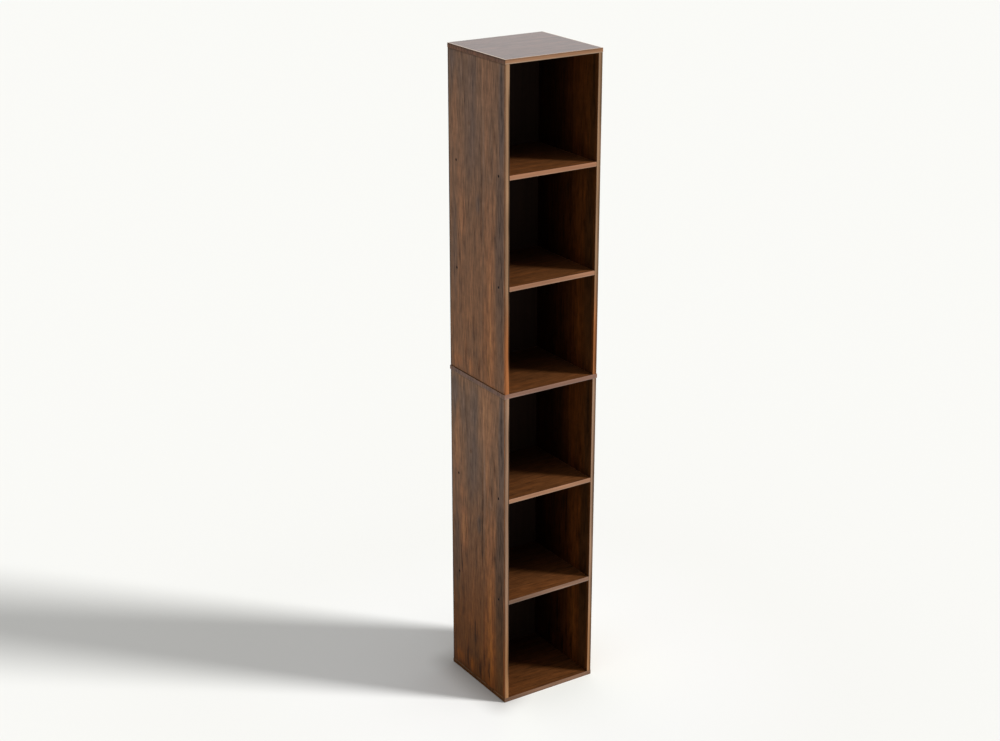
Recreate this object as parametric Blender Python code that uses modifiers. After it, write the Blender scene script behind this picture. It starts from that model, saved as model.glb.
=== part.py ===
"""Six-tier cube bookcase: two open halves, one on the other, in walnut-look board with knock-down fittings.

Lengths are metres. +Z is up, the open front faces -Y, and the origin is the centre of the footprint, on the
floor.
Run it with blender --background --python part.py, or from Blender's text editor.
"""

from math import cos, pi, radians

import bmesh
import bpy
from mathutils import Matrix, Vector

# Case
SIDES_WIDTH = 0.292  # over the outer faces of the side panels
DEPTH = 0.274
LOWER_OPENING = 0.291  # clear height of each compartment in the lower half
UPPER_OPENING = 0.281
BOARD = 0.012  # thickness of every board
END_LIP = 0.001  # the top and bottom boards stand this far past the sides
MIDDLE_LIP = 0.0025  # and the middle board this far
EDGE_BEVEL = 0.0006
TIERS_PER_HALF = 3

# Back panels, let into rebates in the sides
BACK_THICKNESS = 0.003
BACK_INSET = 0.0008  # from the sides' rear edges to the rear face of the back
REBATE_WIDTH = 0.006

# Clearances
JOINT_GAP = 0.0003  # between two boards
FIT = 0.0003  # round a fitting in its hole
OVERRUN = 0.002  # how far a cutter runs past the face that it opens

# Screws, the same for the shelves and the base
SCREW_INSET = 0.033  # from a shelf's front and rear edges to its screws
SCREW_LENGTH = 0.040
SCREW_HEAD = 0.0075
SCREW_RIM = 0.0005  # straight edge of the head, above its 90 degree cone
SCREW_SHANK = 0.005
SCREW_POINT = 0.002
SCREW_POINT_LENGTH = 0.003
SCREW_SINK = 0.0003  # from the board's face down to the head
HEX_ACROSS_FLATS = 0.003
HEX_DEPTH = 0.002
HEX_SIDES = 6

# Cam locks and their bolts
CAM_DISTANCE = 0.024  # from a side panel's end to the middle of its cam
CAM_DIAMETER = 0.012
CAM_SINK = 0.0002
CAM_SKIRT = 0.0003  # the cam reaches this far behind the bolt's head
CAM_SLOT_LENGTH = 0.007
CAM_SLOT_WIDTH = 0.0012
CAM_SLOT_DEPTH = 0.0012
BOLT_THREAD = 0.006
BOLT_THREAD_LENGTH = 0.0085
BOLT_BODY = 0.007
BOLT_NECK = 0.003
BOLT_NECK_LEAD = 0.0005  # the neck starts this far before the cam's rim
BOLT_HEAD = 0.0055
BOLT_HEAD_LENGTH = 0.0022

# Dowels, one at mid-depth in each joint between a side and a board
DOWEL = 0.006
DOWEL_IN_BOARD = 0.0085
DOWEL_IN_SIDE = 0.015
DOWEL_CHAMFER = 0.0008

# Sides of the round pieces
SCREW_SIDES = 16
CAM_SIDES = 20
BOLT_SIDES = 12
MERGE_DISTANCE = 0.000001
SMOOTH_ANGLE = radians(40)

# Places that follow from the sizes
LOWER_PITCH = LOWER_OPENING + BOARD
UPPER_PITCH = UPPER_OPENING + BOARD
TOP_LEVEL = 2 * TIERS_PER_HALF
FRONT = -DEPTH / 2
REAR = DEPTH / 2
OUTER_HALF = SIDES_WIDTH / 2
INNER_HALF = OUTER_HALF - BOARD
SIDE_MIDDLE = OUTER_HALF - BOARD / 2
BACK_REAR = REAR - BACK_INSET
BACK_FRONT = BACK_REAR - BACK_THICKNESS
SHELF_REAR = BACK_FRONT - JOINT_GAP
CAM_HEIGHT = BOARD / 2 - CAM_SINK + BOLT_HEAD / 2 + FIT + CAM_SKIRT

HANDS = {"left": -1, "right": 1}
LINES = {"front": FRONT + SCREW_INSET, "rear": SHELF_REAR - SCREW_INSET}
DOWEL_LINE = (LINES["front"] + LINES["rear"]) / 2
HALVES = {"lower": 0, "upper": TIERS_PER_HALF}  # the level of the board that each half stands on

UP = Vector((0, 0, 1))
DOWN = -UP
BACKWARD = Vector((0, 1, 0))


def level(number):
    """Underside of the board at this level, counted from 0 at the floor."""
    below = min(number, TIERS_PER_HALF)
    return below * LOWER_PITCH + (number - below) * UPPER_PITCH


def side_ends(half):
    """Lowest and highest point of this half's side panels."""
    base = HALVES[half]
    return level(base) + BOARD + JOINT_GAP, level(base + TIERS_PER_HALF) - JOINT_GAP


# Blender objects
def clear_scene():
    for obj in list(bpy.data.objects):
        bpy.data.objects.remove(obj)


def new_collection(name):
    made = bpy.data.collections.new(name)
    bpy.context.scene.collection.children.link(made)
    return made


def material(name, colour, roughness, metallic=0.0):
    made = bpy.data.materials.new(name)
    made.use_nodes = True
    shader = made.node_tree.nodes["Principled BSDF"]
    shader.inputs["Base Color"].default_value = (*colour, 1.0)
    shader.inputs["Roughness"].default_value = roughness
    shader.inputs["Metallic"].default_value = metallic
    return made


clear_scene()
CASE = new_collection("cube_bookcase")
CUTTERS = new_collection("cutters")
ORIGIN = bpy.data.objects.new("bookcase_origin", None)
CASE.objects.link(ORIGIN)

WALNUT_FOIL = material("walnut_foil_board", (0.145, 0.078, 0.048), 0.42)
DARK_HARDBOARD = material("dark_hardboard", (0.050, 0.030, 0.021), 0.60)
BLACK_STEEL = material("black_steel", (0.030, 0.028, 0.027), 0.40, 1.0)
BRONZED_ZINC = material("bronzed_zinc", (0.120, 0.078, 0.055), 0.45, 1.0)
ZINC_PLATE = material("zinc_plated_steel", (0.560, 0.560, 0.540), 0.35, 1.0)
BEECH = material("beech", (0.600, 0.420, 0.260), 0.70)


def piece(name, mesh, finish):
    """A sub-part of the bookcase with this mesh."""
    obj = bpy.data.objects.new(name, mesh)
    CASE.objects.link(obj)
    obj.parent = ORIGIN
    if not mesh.materials:
        mesh.materials.append(finish)
    return obj


def cutter(name, mesh):
    """A helper that cuts holes and isn't part of the bookcase."""
    obj = bpy.data.objects.new(name, mesh)
    CUTTERS.objects.link(obj)
    obj.hide_render = True
    obj.display_type = "WIRE"
    return obj


def turn_to(obj, point, z_axis=UP, y_axis=BACKWARD):
    """Puts an object at a point, with its own Z and Y along these axes."""
    axes = Matrix((y_axis.cross(z_axis), y_axis, z_axis)).transposed()
    obj.location = point
    obj.rotation_euler = axes.to_euler()
    return obj


def cut(obj, tool):
    """Takes the tool's shape out of the object."""
    cutting = obj.modifiers.new(tool.name, "BOOLEAN")
    cutting.operation = "DIFFERENCE"
    cutting.solver = "EXACT"
    cutting.object = tool


# Meshes
def box_mesh(name, size):
    """A box of this size about its centre."""
    mesh = bpy.data.meshes.new(name)
    shape = bmesh.new()
    bmesh.ops.create_cube(shape, size=1)
    bmesh.ops.scale(shape, vec=size, verts=shape.verts)
    shape.to_mesh(mesh)
    shape.free()
    return mesh


def boxed(make, name, low, high, *finish):
    """A piece or a cutter that is a box between these corners, with its origin at its centre."""
    low, high = Vector(low), Vector(high)
    obj = make(name, box_mesh(name, high - low), *finish)
    obj.location = (low + high) / 2
    return obj


def evaluated_mesh(obj):
    """The object's mesh with its modifiers applied. The object and its cutters go."""
    bpy.context.view_layer.update()
    graph = bpy.context.evaluated_depsgraph_get()
    mesh = bpy.data.meshes.new_from_object(obj.evaluated_get(graph))
    mesh.name = obj.name
    tools = [m.object for m in obj.modifiers if m.type == "BOOLEAN"]
    for used in (*tools, obj):
        bpy.data.objects.remove(used)
    mesh.shade_smooth()
    mesh.set_sharp_from_angle(angle=SMOOTH_ANGLE)
    return mesh


def turned(name, profile, sides):
    """An object turned about Z from (radius, height) points that run down its outer side."""
    mesh = bpy.data.meshes.new(name)
    points = [(radius, 0, height) for radius, height in profile]
    edges = [(i, i + 1) for i in range(len(points) - 1)]
    mesh.from_pydata(points, edges, [])
    obj = cutter(name, mesh)
    turning = obj.modifiers.new("turn", "SCREW")
    turning.steps = turning.render_steps = sides
    turning.use_merge_vertices = True
    turning.merge_threshold = MERGE_DISTANCE
    return obj


def turned_mesh(name, profile, sides):
    return evaluated_mesh(turned(name, profile, sides))


def cylinder_mesh(name, diameter, top, bottom, sides):
    radius = diameter / 2
    return turned_mesh(name, [(0, top), (radius, top), (radius, bottom), (0, bottom)], sides)


# Screw: its origin is on the face that it is driven through, and it points down
def screw_mesh():
    head, shank, point = SCREW_HEAD / 2, SCREW_SHANK / 2, SCREW_POINT / 2
    rim = -SCREW_SINK - SCREW_RIM
    profile = [
        (0, -SCREW_SINK),
        (head, -SCREW_SINK),
        (head, rim),
        (shank, rim - (head - shank)),
        (shank, SCREW_POINT_LENGTH - SCREW_LENGTH),
        (point, -SCREW_LENGTH),
        (0, -SCREW_LENGTH),
    ]
    screw = turned("screw", profile, SCREW_SIDES)
    hex_mesh = bpy.data.meshes.new("hex_key")
    shape = bmesh.new()
    corner = HEX_ACROSS_FLATS / 2 / cos(pi / HEX_SIDES)
    bmesh.ops.create_cone(
        shape,
        cap_ends=True,
        segments=HEX_SIDES,
        radius1=corner,
        radius2=corner,
        depth=2 * HEX_DEPTH,
    )
    shape.to_mesh(hex_mesh)
    shape.free()
    key = cutter("hex_key", hex_mesh)
    key.location.z = -SCREW_SINK
    cut(screw, key)
    return evaluated_mesh(screw)


def screw_hole_mesh():
    head, shank = SCREW_HEAD / 2 + FIT, SCREW_SHANK / 2 + FIT
    rim, end = -SCREW_SINK - SCREW_RIM, -SCREW_LENGTH - FIT
    profile = [
        (0, OVERRUN),
        (head, OVERRUN),
        (head, rim),
        (shank, rim - (head - shank)),
        (shank, end),
        (0, end),
    ]
    return turned_mesh("screw_hole", profile, SCREW_SIDES)


# Cam lock: its origin is on the side panel's inner face, Z out of the face and Y towards the bolt
def cam_mesh():
    top, bottom = -CAM_SINK, -CAM_SINK - CAM_HEIGHT
    radius, axis, below = CAM_DIAMETER / 2, -BOARD / 2, bottom - OVERRUN
    profile = [(0, top), (radius, top), (radius, bottom), (0, bottom)]
    cam = turned("cam_lock", profile, CAM_SIDES)
    neck, head = BOLT_NECK / 2 + FIT, BOLT_HEAD / 2 + FIT
    grip, bar = BOLT_HEAD_LENGTH / 2 + FIT, CAM_SLOT_WIDTH / 2
    arm, floor = CAM_SLOT_LENGTH / 2, top - CAM_SLOT_DEPTH
    cuts = {
        "neck_slot": ((-neck, 0, below), (neck, radius + OVERRUN, axis + neck)),
        "head_pocket": ((-head, -grip, below), (head, grip, axis + head)),
        "cross_slot_across": ((-arm, -bar, floor), (arm, bar, OVERRUN)),
        "cross_slot_along": ((-bar, -arm, floor), (bar, arm, OVERRUN)),
    }
    for name, (low, high) in cuts.items():
        cut(cam, boxed(cutter, name, low, high))
    return evaluated_mesh(cam)


def cam_pocket_mesh():
    deep = -CAM_SINK - CAM_HEIGHT - FIT
    return cylinder_mesh("cam_pocket", CAM_DIAMETER + 2 * FIT, OVERRUN, deep, CAM_SIDES)


# Bolts: Z points up out of the cam
def bolt_tail(cam_depth):
    """The (radius, height) points from a bolt's body to its head, for a cam this far below 0."""
    body, neck, head = BOLT_BODY / 2, BOLT_NECK / 2, BOLT_HEAD / 2
    body_end = CAM_DIAMETER / 2 + BOLT_NECK_LEAD - cam_depth
    head_top = BOLT_HEAD_LENGTH / 2 - cam_depth
    head_end = -BOLT_HEAD_LENGTH / 2 - cam_depth
    return [
        (body, body_end),
        (neck, body_end),
        (neck, head_top),
        (head, head_top),
        (head, head_end),
        (0, head_end),
    ]


def single_bolt_mesh():
    """Its origin is on the underside of the board that it is screwed into."""
    thread, body = BOLT_THREAD / 2, BOLT_BODY / 2
    profile = [
        (0, BOLT_THREAD_LENGTH),
        (thread, BOLT_THREAD_LENGTH),
        (thread, -JOINT_GAP),
        (body, -JOINT_GAP),
        *bolt_tail(JOINT_GAP + CAM_DISTANCE),
    ]
    return turned_mesh("cam_bolt", profile, BOLT_SIDES)


def single_bolt_hole_mesh():
    thread, body = BOLT_THREAD / 2 + FIT, BOLT_BODY / 2 + FIT
    top, step, end = BOLT_THREAD_LENGTH + FIT, -JOINT_GAP / 2, -JOINT_GAP - CAM_DISTANCE
    profile = [(0, top), (thread, top), (thread, step), (body, step), (body, end), (0, end)]
    return turned_mesh("cam_bolt_hole", profile, BOLT_SIDES)


def double_bolt_mesh():
    """Its origin is in the middle of the board that it passes through."""
    tail = bolt_tail(BOARD / 2 + JOINT_GAP + CAM_DISTANCE)
    upper = [(radius, -height) for radius, height in reversed(tail)]
    return turned_mesh("double_cam_bolt", upper + tail, BOLT_SIDES)


def double_bolt_hole_mesh():
    reach = BOARD / 2 + JOINT_GAP + CAM_DISTANCE
    return cylinder_mesh("double_cam_bolt_hole", BOLT_BODY + 2 * FIT, reach, -reach, BOLT_SIDES)


# Dowels: Z points up, and the origin is at mid-length
def dowel_mesh(name, length):
    radius, top = DOWEL / 2, length / 2
    tip, shoulder = radius - DOWEL_CHAMFER, top - DOWEL_CHAMFER
    profile = [
        (0, top),
        (tip, top),
        (radius, shoulder),
        (radius, -shoulder),
        (tip, -top),
        (0, -top),
    ]
    return turned_mesh(name, profile, BOLT_SIDES)


def dowel_hole_mesh(name, length):
    reach = length / 2 + FIT
    return cylinder_mesh(name, DOWEL + 2 * FIT, reach, -reach, BOLT_SIDES)


# Boards
def board(name, low, high):
    obj = boxed(piece, name, low, high, WALNUT_FOIL)
    edge = obj.modifiers.new("edge", "BEVEL")
    edge.width = EDGE_BEVEL
    edge.segments = 1
    return obj


def full_board(name, number, lip):
    """A board across the whole case at this level."""
    half_width = OUTER_HALF + lip
    low = (-half_width, FRONT, level(number))
    high = (half_width, REAR, level(number) + BOARD)
    return board(name, low, high)


def side_panel(half, hand, sign):
    """A side with its rear inner edge rebated for the back."""
    bottom, top = side_ends(half)
    left, right = sorted((sign * INNER_HALF, sign * OUTER_HALF))
    name = f"{half}_{hand}_side"
    side = board(name, (left, FRONT, bottom), (right, REAR, top))
    near, far = sorted((sign * (INNER_HALF - OVERRUN), sign * (INNER_HALF + REBATE_WIDTH)))
    low = (near, BACK_FRONT - JOINT_GAP, bottom - OVERRUN)
    high = (far, REAR + OVERRUN, top + OVERRUN)
    cut(side, boxed(cutter, f"{name}_rebate", low, high))
    return side


def shelf(half, number):
    half_width = INNER_HALF - JOINT_GAP
    low_z = level(HALVES[half] + number)
    low = (-half_width, FRONT, low_z)
    high = (half_width, SHELF_REAR, low_z + BOARD)
    return board(f"{half}_shelf_{number}", low, high)


def back_panel(half):
    bottom, top = side_ends(half)
    half_width = INNER_HALF + REBATE_WIDTH - JOINT_GAP
    low = (-half_width, BACK_FRONT, bottom)
    high = (half_width, BACK_REAR, top)
    return boxed(piece, f"{half}_back_panel", low, high, DARK_HARDBOARD)


def fit_piece(name, mesh, hole, finish, boards, *pose):
    """A fitting and the hole for it through these boards."""
    turn_to(piece(name, mesh, finish), *pose)
    tool = turn_to(cutter(f"{name}_hole", hole), *pose)
    for drilled in boards:
        cut(drilled, tool)


TOP = full_board("top_board", TOP_LEVEL, END_LIP)
MIDDLE = full_board("middle_board", TIERS_PER_HALF, MIDDLE_LIP)
BOTTOM = full_board("bottom_board", 0, END_LIP)
PANELS = {(half, hand): side_panel(half, hand, HANDS[hand]) for half in HALVES for hand in HANDS}
for half in HALVES:
    back_panel(half)

SCREW, SCREW_HOLE = screw_mesh(), screw_hole_mesh()
CAM, CAM_POCKET = cam_mesh(), cam_pocket_mesh()
BOLT, BOLT_HOLE = single_bolt_mesh(), single_bolt_hole_mesh()
DOUBLE_BOLT, DOUBLE_BOLT_HOLE = double_bolt_mesh(), double_bolt_hole_mesh()

# Shelves, screwed through the sides at both ends
for half, base in HALVES.items():
    for number in range(1, TIERS_PER_HALF):
        plank = shelf(half, number)
        screw_z = level(base + number) + BOARD / 2
        for hand, sign in HANDS.items():
            for line, y in LINES.items():
                fit_piece(
                    f"{half}_shelf_{number}_screw_{hand}_{line}",
                    SCREW,
                    SCREW_HOLE,
                    BLACK_STEEL,
                    (PANELS[half, hand], plank),
                    Vector((sign * OUTER_HALF, y, screw_z)),
                    Vector((sign, 0, 0)),
                )


def fit_cam(joint, half, hand, line, towards_bolt):
    """A cam lock in a side panel, near the end that its bolt comes in at."""
    bottom, top = side_ends(half)
    sign = HANDS[hand]
    z = top - CAM_DISTANCE if towards_bolt.z > 0 else bottom + CAM_DISTANCE
    fit_piece(
        f"{joint}_cam_{hand}_{line}",
        CAM,
        CAM_POCKET,
        BRONZED_ZINC,
        (PANELS[half, hand],),
        Vector((sign * INNER_HALF, LINES[line], z)),
        Vector((-sign, 0, 0)),
        towards_bolt,
    )


# Top board: bolts in its underside, held by cams in the upper sides. Middle board: double bolts through it,
# with cams above and below. Bottom board: screws from below
MIDDLE_Z = level(TIERS_PER_HALF) + BOARD / 2
for hand, sign in HANDS.items():
    upper, lower = PANELS["upper", hand], PANELS["lower", hand]
    for line, y in LINES.items():
        x = sign * SIDE_MIDDLE
        under_top = Vector((x, y, level(TOP_LEVEL)))
        fit_piece(f"top_bolt_{hand}_{line}", BOLT, BOLT_HOLE, ZINC_PLATE, (TOP, upper), under_top)
        fit_cam("top", "upper", hand, line, UP)
        fit_piece(
            f"middle_bolt_{hand}_{line}",
            DOUBLE_BOLT,
            DOUBLE_BOLT_HOLE,
            ZINC_PLATE,
            (MIDDLE, upper, lower),
            Vector((x, y, MIDDLE_Z)),
        )
        fit_cam("middle_upper", "upper", hand, line, DOWN)
        fit_cam("middle_lower", "lower", hand, line, UP)
        fit_piece(
            f"base_screw_{hand}_{line}",
            SCREW,
            SCREW_HOLE,
            BLACK_STEEL,
            (BOTTOM, lower),
            Vector((x, y, 0)),
            DOWN,
        )

# Dowels
END_DOWEL_LENGTH = DOWEL_IN_BOARD + JOINT_GAP + DOWEL_IN_SIDE
MIDDLE_DOWEL_LENGTH = BOARD + 2 * (JOINT_GAP + DOWEL_IN_SIDE)
END_DOWEL = dowel_mesh("end_dowel", END_DOWEL_LENGTH)
END_DOWEL_HOLE = dowel_hole_mesh("end_dowel_hole", END_DOWEL_LENGTH)
MIDDLE_DOWEL = dowel_mesh("middle_dowel", MIDDLE_DOWEL_LENGTH)
MIDDLE_DOWEL_HOLE = dowel_hole_mesh("middle_dowel_hole", MIDDLE_DOWEL_LENGTH)
TOP_DOWEL_Z = level(TOP_LEVEL) + DOWEL_IN_BOARD - END_DOWEL_LENGTH / 2
BOTTOM_DOWEL_Z = BOARD - DOWEL_IN_BOARD + END_DOWEL_LENGTH / 2
for hand, sign in HANDS.items():
    upper, lower = PANELS["upper", hand], PANELS["lower", hand]
    joints = {
        "top": (END_DOWEL, END_DOWEL_HOLE, (TOP, upper), TOP_DOWEL_Z),
        "middle": (MIDDLE_DOWEL, MIDDLE_DOWEL_HOLE, (MIDDLE, upper, lower), MIDDLE_Z),
        "bottom": (END_DOWEL, END_DOWEL_HOLE, (BOTTOM, lower), BOTTOM_DOWEL_Z),
    }
    for joint, (mesh, hole, boards, z) in joints.items():
        spot = Vector((sign * SIDE_MIDDLE, DOWEL_LINE, z))
        fit_piece(f"{joint}_dowel_{hand}", mesh, hole, BEECH, boards, spot)
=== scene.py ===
# %% [markdown]
# # Cube bookcase in walnut foil
#
# A tall, narrow bookcase: two open boxes of three tiers, one on the other, made of 12 mm board. The
# boards, the screws and the fittings come from the imported model with their real shapes and places.
# This script gives each of them its finish, adds the small pieces that the model leaves out, and
# sets up the picture.
#
# The imported model is loaded first, because every place below is read from it. Its box is kept.

# %% Load the imported model
from math import cos, pi, radians, sin, tau

import bmesh
import bpy
from mathutils import Matrix, Vector


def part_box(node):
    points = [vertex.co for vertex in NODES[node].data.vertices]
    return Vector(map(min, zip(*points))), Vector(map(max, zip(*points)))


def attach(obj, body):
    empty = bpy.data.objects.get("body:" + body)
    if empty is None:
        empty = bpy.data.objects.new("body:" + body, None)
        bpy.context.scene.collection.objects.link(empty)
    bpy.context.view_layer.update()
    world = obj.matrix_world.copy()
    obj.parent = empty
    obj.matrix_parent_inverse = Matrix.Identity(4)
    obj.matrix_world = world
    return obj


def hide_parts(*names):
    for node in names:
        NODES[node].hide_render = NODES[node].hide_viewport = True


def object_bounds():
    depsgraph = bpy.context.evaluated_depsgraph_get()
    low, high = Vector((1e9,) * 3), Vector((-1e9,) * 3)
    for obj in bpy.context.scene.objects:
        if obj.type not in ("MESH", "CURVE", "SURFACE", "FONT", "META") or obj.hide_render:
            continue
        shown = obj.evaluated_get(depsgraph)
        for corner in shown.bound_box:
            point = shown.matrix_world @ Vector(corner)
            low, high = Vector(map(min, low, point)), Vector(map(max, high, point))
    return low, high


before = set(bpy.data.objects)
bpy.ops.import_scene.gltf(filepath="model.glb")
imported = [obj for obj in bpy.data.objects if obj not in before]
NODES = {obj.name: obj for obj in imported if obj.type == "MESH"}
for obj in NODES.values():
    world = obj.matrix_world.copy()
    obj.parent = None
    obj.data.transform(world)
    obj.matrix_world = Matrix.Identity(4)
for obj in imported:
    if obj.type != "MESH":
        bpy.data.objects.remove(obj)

CAD_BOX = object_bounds()
print(len(NODES), "nodes in a box of", [round(side, 4) for side in CAD_BOX[1] - CAD_BOX[0]], "m")

# %% [markdown]
# ## The camera
#
# A product picture of a tall case is taken from above its middle and from one side, with a long
# lens, so that its upright edges stay almost upright. A camera can be placed by eye, but the
# corners of the case fix it much better: with the case's real size known, one lens, one place and
# one tilt bring every corner to its spot.

# %% Camera
CAMERA_LENS = 65.039  # mm
SENSOR_WIDTH = 36  # mm
CAMERA_PLACE = (-2.5284, -3.8174, 2.6497)
CAMERA_TILT_DOWN = radians(20.729)
CAMERA_TURN_RIGHT = radians(32.736)

camera_data = bpy.data.cameras.new("camera")
camera_data.lens = CAMERA_LENS
camera_data.sensor_width = SENSOR_WIDTH
camera_data.sensor_fit = "HORIZONTAL"
camera = bpy.data.objects.new("camera", camera_data)
camera.location = CAMERA_PLACE
camera.rotation_euler = (pi / 2 - CAMERA_TILT_DOWN, 0, -CAMERA_TURN_RIGHT)
bpy.context.scene.collection.objects.link(camera)
bpy.context.scene.camera = camera
bpy.context.scene.view_settings.view_transform = "Standard"
middle_of_case = (CAD_BOX[0] + CAD_BOX[1]) / 2
print("camera", round((camera.location - middle_of_case).length, 2), "m from the middle of the case")

# %% [markdown]
# ## Short names for shader nodes
#
# Every finish here is built from the same few nodes: sums, soft steps, noise, colour mixes and
# bumps. Written out in full, each takes five lines. This small class makes one in a single line,
# and takes either a number or another node's output for any input.

# %% Node helper
class Nodes:
    """One-line shader nodes in one tree."""

    def __init__(self, tree):
        self.tree = tree

    def add(self, kind, inputs=(), **settings):
        made = self.tree.nodes.new("ShaderNode" + kind)
        for name, value in settings.items():
            setattr(made, name, value)
        self.feed(made, inputs)
        return made

    def feed(self, made, inputs):
        """Sets each input of a node to its number, or links it to its socket."""
        for key, value in dict(inputs).items():
            if isinstance(value, bpy.types.NodeSocket):
                self.tree.links.new(value, made.inputs[key])
            else:
                made.inputs[key].default_value = value

    def maths(self, operation, *values):
        return self.add("Math", enumerate(values), operation=operation).outputs[0]

    def plus(self, *values):
        total = values[0]
        for value in values[1:]:
            total = self.maths("ADD", total, value)
        return total

    def times(self, *values):
        total = values[0]
        for value in values[1:]:
            total = self.maths("MULTIPLY", total, value)
        return total

    def rise(self, value, low, high):
        """0 at low, 1 at high and a smooth rise between them; a fall if low is the higher number."""
        inputs = {"Value": value, "From Min": low, "From Max": high}
        return self.add("MapRange", inputs, interpolation_type="SMOOTHSTEP").outputs[0]

    def place(self):
        """Where the point is, in metres from the origin of the case."""
        return self.add("TexCoord").outputs["Object"]

    def vector(self, *parts):
        return self.add("CombineXYZ", enumerate(parts)).outputs[0]

    def parts(self, vector):
        return self.add("SeparateXYZ", {0: vector}).outputs

    def length(self, *parts):
        made = self.add("VectorMath", {0: self.vector(*parts)}, operation="LENGTH")
        return made.outputs["Value"]

    def scaled(self, vector, factor):
        """A vector or a colour, times this factor."""
        return self.add("VectorMath", {0: vector, 3: factor}, operation="SCALE").outputs[0]

    def noise(self, vector, detail=2.0, roughness=0.5):
        inputs = {"Vector": vector, "Scale": 1.0, "Detail": detail, "Roughness": roughness}
        return self.add("TexNoise", inputs).outputs[0]

    def mix(self, factor, first, second, blend="MIX"):
        inputs = {0: factor, 6: first, 7: second}
        return self.add("Mix", inputs, data_type="RGBA", blend_type=blend).outputs[2]

    def ramp(self, value, *stops):
        made = self.add("ValToRGB", {0: value})
        points = made.color_ramp.elements
        while len(points) < len(stops):
            points.new(0.5)
        for point, (position, colour) in zip(points, stops):
            point.position = position
            point.color = colour
        return made.outputs[0]

    def bump(self, height, strength, depth):
        """A normal tilted by this height map. Depth is what a height of 1 stands for, in metres."""
        inputs = {"Strength": strength, "Distance": depth, "Height": height}
        return self.add("Bump", inputs).outputs[0]


def colour(red, green, blue):
    return (red, green, blue, 1.0)


def new_material(name):
    """A node material and the helper for its tree. Its shader is named Principled BSDF."""
    made = bpy.data.materials.new(name)
    made.use_nodes = True
    return made, Nodes(made.node_tree)


def set_shader(material, **inputs):
    """Sets or links inputs of the material's shader, named with _ for a space."""
    shader = material.node_tree.nodes["Principled BSDF"]
    named = {name.replace("_", " "): value for name, value in inputs.items()}
    Nodes(material.node_tree).feed(shader, named)


print("node helper ready")

# %% [markdown]
# ## The floor
#
# The case stands on a wide pale floor that runs out of the picture on all sides. One flat colour
# does for the far floor, but not close to so tall a case, which hides half the sky from it: the
# floor in front would turn grey. In a studio, white card is laid there. Here the floor's own colour
# does that work, mixed by the distance from the outline of the case.
#
# So this floor has four colours: one for the most of it, a paler one round the case, a paler one
# still beside the lit sides, where it also throws light up onto the case as the card would, and a
# darker one where the case touches it on the unlit side. The two paler ones are painted light, in
# place of the sky that the case hides, and the darker one is a painted contact shadow.

# %% Floor
FLOOR_SIZE = 60.0
FLOOR_COLOUR = colour(0.785, 0.785, 0.760)
# Painted light round the case and by its lit sides, and a painted contact shadow at its unlit foot.
FLOOR_PAINTED_LIGHT_ROUND_CASE = colour(0.824, 0.826, 0.812)
FLOOR_PAINTED_LIGHT_NEAR_CASE = colour(0.865, 0.870, 0.832)
FLOOR_PAINTED_CONTACT_SHADOW = colour(0.500, 0.490, 0.470)
# Metres from the outline of the case at which each colour begins and at which it is full.
ROUND_CASE = (0.80, 0.10)
NEAR_CASE = (0.40, -0.10)
CONTACT_SHADOW_REACH = (0.09, -0.03)
# Metres past the slanting line through the case that parts its lit side from its unlit side.
LIT_SIDE = (-0.05, 0.10)

floor_mesh = bpy.data.meshes.new("floor")
floor_shape = bmesh.new()
bmesh.ops.create_grid(floor_shape, x_segments=1, y_segments=1, size=FLOOR_SIZE / 2)
floor_shape.to_mesh(floor_mesh)
floor_shape.free()
floor = bpy.data.objects.new("floor", floor_mesh)
bpy.context.scene.collection.objects.link(floor)

floor_material, nodes = new_material("pale_floor")
x, y, z = nodes.parts(nodes.place())
past_side = nodes.maths("MAXIMUM", nodes.plus(nodes.maths("ABSOLUTE", x), -CAD_BOX[1].x), 0.0)
past_front = nodes.maths("MAXIMUM", nodes.plus(nodes.maths("ABSOLUTE", y), -CAD_BOX[1].y), 0.0)
away = nodes.length(past_side, past_front)
lit = nodes.rise(nodes.maths("SUBTRACT", x, y), *LIT_SIDE)
unlit = nodes.maths("SUBTRACT", 1.0, lit)
# Painted light beside the lit sides, and a painted contact shadow where the case stands on the unlit
# side.
painted_light_near = nodes.times(nodes.rise(away, *NEAR_CASE), lit)
contact_shadow = nodes.times(nodes.rise(away, *CONTACT_SHADOW_REACH), unlit)
floor_shade = nodes.mix(nodes.rise(away, *ROUND_CASE), FLOOR_COLOUR, FLOOR_PAINTED_LIGHT_ROUND_CASE)
floor_shade = nodes.mix(painted_light_near, floor_shade, FLOOR_PAINTED_LIGHT_NEAR_CASE)
floor_shade = nodes.mix(contact_shadow, floor_shade, FLOOR_PAINTED_CONTACT_SHADOW)
set_shader(floor_material, Base_Color=floor_shade, Roughness=1.0, Specular_IOR_Level=0.0)
floor_mesh.materials.append(floor_material)
print("floor", FLOOR_SIZE, "m wide, in four colours")

# %% [markdown]
# ## The sky
#
# Most of the light comes from above, as from a white ceiling. A sky as bright all round would be
# simpler, but it would light the boxes from the front too. So this one is bright overhead and fades
# to nothing at the horizon: the floor stays light in the shadow, while the boxes, which can't see
# the ceiling, are dark inside.
#
# What is seen of the sky is another matter. To the camera, in a reflection and through glass it is
# plain white all round. A Light Path node tells those rays from the rays that carry light.

# %% Sky
SKY_OVERHEAD = 0.86

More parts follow.
